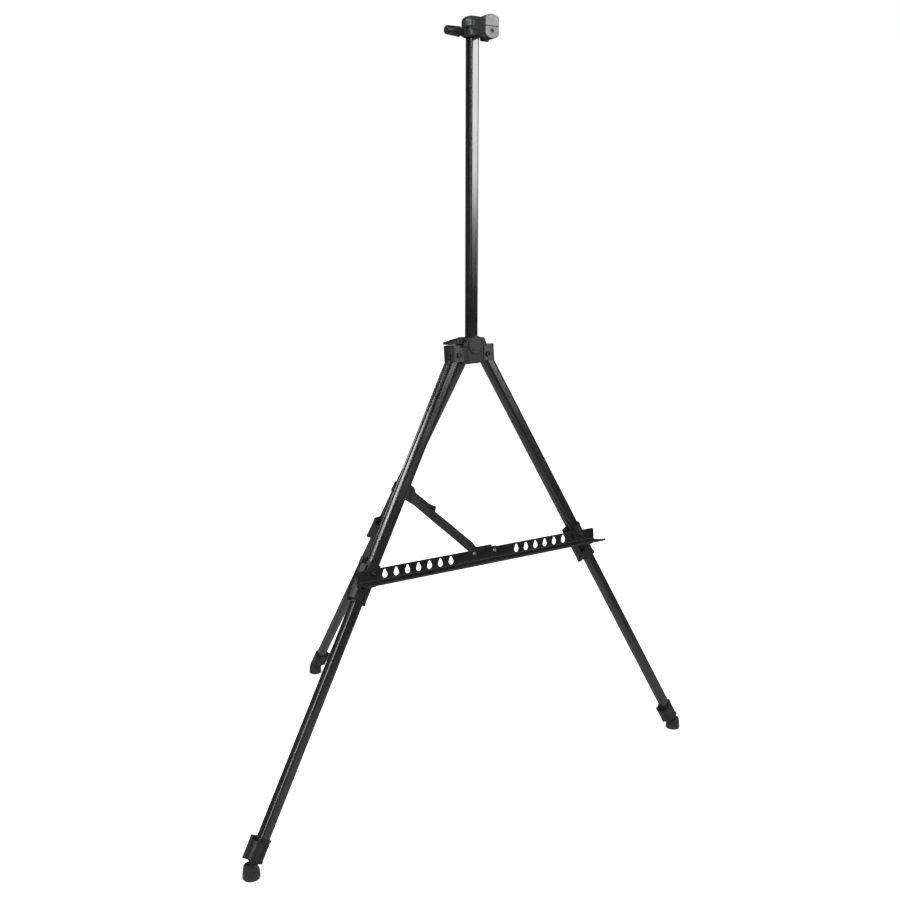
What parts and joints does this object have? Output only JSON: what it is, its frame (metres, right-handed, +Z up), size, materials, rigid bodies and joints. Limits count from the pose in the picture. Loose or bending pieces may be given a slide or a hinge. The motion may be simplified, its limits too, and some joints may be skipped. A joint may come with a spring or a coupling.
{
  "type": "tripod easel",
  "caption": "Folding tripod painting easel: telescoping legs with snap levers, sliding mast with canvas clamp, drilled tray rail and a stay strap to the rear leg.",
  "frame": {"origin": "on the floor, in the middle of the footprint's bounding box", "axes": "+Z up, the canvas side faces -Y, the rear leg runs to +Y, +X to the right of the tray rail"},
  "size_m": [0.8714, 0.6443, 1.2095],
  "materials": {
    "black_paint": "satin black coat on aluminium tube",
    "black_steel": "satin black coat on folded sheet steel",
    "black_plastic": "moulded nylon, fine texture",
    "knob_plastic": "moulded nylon, fluted",
    "pad_rubber": "moulded rubber",
    "pin_steel": "blackened steel pins and screws",
    "webbing": "woven nylon webbing",
    "grey_cap": "moulded disc, slightly paler"
  },
  "bodies": {
    "hub": {"hub_housing": "black_plastic", "hub_cap": "grey_cap", "hub_pivot_screws": "pin_steel", "hub_rear_pin": "pin_steel", "mast_lock_pin": "pin_steel", "strap": "webbing"},
    "front_left_upper_section": {"front_left_upper_tube": "black_paint", "front_left_head_plug": "black_plastic", "front_left_upper_collar": "black_plastic", "front_left_upper_lock_pin": "pin_steel"},
    "front_left_upper_latch": {"front_left_upper_lever": "black_plastic"},
    "front_left_middle_section": {"front_left_middle_tube": "black_paint", "front_left_lower_collar": "black_plastic", "front_left_lower_lock_pin": "pin_steel"},
    "front_left_lower_latch": {"front_left_lower_lever": "black_plastic"},
    "front_left_lower_section": {"front_left_lower_tube": "black_paint", "front_left_ankle_plug": "black_plastic"},
    "front_left_foot": {"front_left_foot_pad": "pad_rubber", "front_left_foot_pin": "pin_steel"},
    "front_right_upper_section": {"front_right_upper_tube": "black_paint", "front_right_head_plug": "black_plastic", "front_right_upper_collar": "black_plastic", "front_right_upper_lock_pin": "pin_steel"},
    "front_right_upper_latch": {"front_right_upper_lever": "black_plastic"},
    "front_right_middle_section": {"front_right_middle_tube": "black_paint", "front_right_lower_collar": "black_plastic", "front_right_lower_lock_pin": "pin_steel"},
    "front_right_lower_latch": {"front_right_lower_lever": "black_plastic"},
    "front_right_lower_section": {"front_right_lower_tube": "black_paint", "front_right_ankle_plug": "black_plastic"},
    "front_right_foot": {"front_right_foot_pad": "pad_rubber", "front_right_foot_pin": "pin_steel"},
    "rear_upper_section": {"rear_upper_tube": "black_paint", "rear_head_plug": "black_plastic", "rear_upper_collar": "black_plastic", "rear_upper_lock_pin": "pin_steel"},
    "rear_upper_latch": {"rear_upper_lever": "black_plastic"},
    "rear_middle_section": {"rear_middle_tube": "black_paint", "rear_lower_collar": "black_plastic", "rear_lower_lock_pin": "pin_steel"},
    "rear_lower_latch": {"rear_lower_lever": "black_plastic"},
    "rear_lower_section": {"rear_lower_tube": "black_paint", "rear_ankle_plug": "black_plastic"},
    "rear_foot": {"rear_foot_pad": "pad_rubber", "rear_foot_pin": "pin_steel"},
    "mast": {"mast_tube": "black_paint", "mast_end_plugs": "black_plastic"},
    "mast_latch": {"mast_lock_lever": "black_plastic"},
    "clamp": {"clamp_body": "black_plastic", "clamp_jaw": "black_plastic", "clamp_screw": "pin_steel", "clamp_retainer": "black_steel"},
    "thumb_screw": {"clamp_knob": "knob_plastic", "clamp_knob_stud": "pin_steel"},
    "tray": {"tray_rail": "black_steel", "tray_backing_plates": "black_steel", "tray_screws": "pin_steel", "tray_strap_plate": "black_steel", "tray_rivets": "pin_steel"}
  },
  "joints": [
    {"name": "front_left_fold", "type": "hinge", "parent": "hub", "child": "front_left_upper_section", "pos_m": [-0.0276, -0.24307, 0.7098], "axis": [0, -0.9955, 0.0951], "range_deg": [0, 29.5]},
    {"name": "front_left_upper_lever_swing", "type": "hinge", "parent": "front_left_upper_section", "child": "front_left_upper_latch", "pos_m": [-0.22705, -0.26952, 0.39084], "axis": [-0.4924, -0.0828, -0.8664], "range_deg": [0, 110], "stiffness_Nm_per_rad": 0.1},
    {"name": "front_left_middle_slide", "type": "slide", "parent": "front_left_upper_section", "child": "front_left_middle_section", "axis": [-0.4924, -0.0828, -0.8664], "range_m": [-0.34, 0], "stiffness_N_per_m": 20000},
    {"name": "front_left_lower_lever_swing", "type": "hinge", "parent": "front_left_middle_section", "child": "front_left_lower_latch", "pos_m": [-0.42221, -0.30206, 0.04396], "axis": [-0.4924, -0.0828, -0.8664], "range_deg": [0, 110], "stiffness_Nm_per_rad": 0.1},
    {"name": "front_left_lower_slide", "type": "slide", "parent": "front_left_middle_section", "child": "front_left_lower_section", "axis": [-0.4924, -0.0828, -0.8664], "range_m": [0, 0.3]},
    {"name": "front_left_foot_swivel", "type": "hinge", "parent": "front_left_lower_section", "child": "front_left_foot", "pos_m": [-0.42306, -0.30954, 0.014], "axis": [0, 0.9955, -0.0951], "range_deg": [0, 29.4]},
    {"name": "front_right_fold", "type": "hinge", "parent": "hub", "child": "front_right_upper_section", "pos_m": [0.0276, -0.24307, 0.7098], "axis": [0, 0.9955, -0.0951], "range_deg": [0, 29.5]},
    {"name": "front_right_upper_lever_swing", "type": "hinge", "parent": "front_right_upper_section", "child": "front_right_upper_latch", "pos_m": [0.1992, -0.27102, 0.37516], "axis": [0.4924, -0.0828, -0.8664], "range_deg": [0, 110], "stiffness_Nm_per_rad": 0.1},
    {"name": "front_right_middle_slide", "type": "slide", "parent": "front_right_upper_section", "child": "front_right_middle_section", "axis": [0.4924, -0.0828, -0.8664], "range_m": [-0.34, 0], "stiffness_N_per_m": 20000},
    {"name": "front_right_lower_lever_swing", "type": "hinge", "parent": "front_right_middle_section", "child": "front_right_lower_latch", "pos_m": [0.39731, -0.3034, 0.02995], "axis": [0.4924, -0.0828, -0.8664], "range_deg": [0, 110], "stiffness_Nm_per_rad": 0.1},
    {"name": "front_right_lower_slide", "type": "slide", "parent": "front_right_middle_section", "child": "front_right_lower_section", "axis": [0.4924, -0.0828, -0.8664], "range_m": [0, 0.3]},
    {"name": "front_right_foot_swivel", "type": "hinge", "parent": "front_right_lower_section", "child": "front_right_foot", "pos_m": [0.42306, -0.30954, 0.014], "axis": [0, -0.9955, 0.0951], "range_deg": [0, 29.4]},
    {"name": "rear_fold", "type": "hinge", "parent": "hub", "child": "rear_upper_section", "pos_m": [0, -0.22107, 0.7023], "axis": [-1, 0, 0], "range_deg": [0, 37.6], "deforming": ["strap"]},
    {"name": "rear_upper_lever_swing", "type": "hinge", "parent": "rear_upper_section", "child": "rear_upper_latch", "pos_m": [-0.016, 0.03716, 0.3739], "axis": [0, 0.6106, -0.792], "range_deg": [0, 110], "stiffness_Nm_per_rad": 0.1},
    {"name": "rear_middle_slide", "type": "slide", "parent": "rear_upper_section", "child": "rear_middle_section", "axis": [0, 0.6106, -0.792], "range_m": [-0.37, 0], "stiffness_N_per_m": 20000},
    {"name": "rear_lower_lever_swing", "type": "hinge", "parent": "rear_middle_section", "child": "rear_lower_latch", "pos_m": [0.0143, 0.28816, 0.03424], "axis": [0, 0.6106, -0.792], "range_deg": [0, 110], "stiffness_Nm_per_rad": 0.1},
    {"name": "rear_lower_slide", "type": "slide", "parent": "rear_middle_section", "child": "rear_lower_section", "axis": [0, 0.6106, -0.792], "range_m": [0, 0.3]},
    {"name": "rear_foot_swivel", "type": "hinge", "parent": "rear_lower_section", "child": "rear_foot", "pos_m": [0, 0.30957, 0.014], "axis": [1, 0, 0], "range_deg": [0, 37.5]},
    {"name": "mast_slide", "type": "slide", "parent": "hub", "child": "mast", "axis": [0, 0, 1], "range_m": [-0.425, 0], "stiffness_N_per_m": 8000},
    {"name": "mast_lever_swing", "type": "hinge", "parent": "hub", "child": "mast_latch", "pos_m": [-0.0182, -0.24807, 0.7321], "axis": [0, 1, 0], "range_deg": [0, 95], "stiffness_Nm_per_rad": 0.1},
    {"name": "clamp_slide", "type": "slide", "parent": "mast", "child": "clamp", "axis": [0, 0, -1], "range_m": [0, 0.39], "stiffness_N_per_m": 4000},
    {"name": "thumb_screw_turn", "type": "hinge", "parent": "clamp", "child": "thumb_screw", "pos_m": [-0.02, -0.24807, 1.1865], "axis": [-1, 0, 0], "range_deg": [-360, 360]},
    {"name": "tray_lift", "type": "slide", "parent": "hub", "child": "tray", "axis": [0, 0.0951, 0.9955], "range_m": [0, 0.06]}
  ]
}
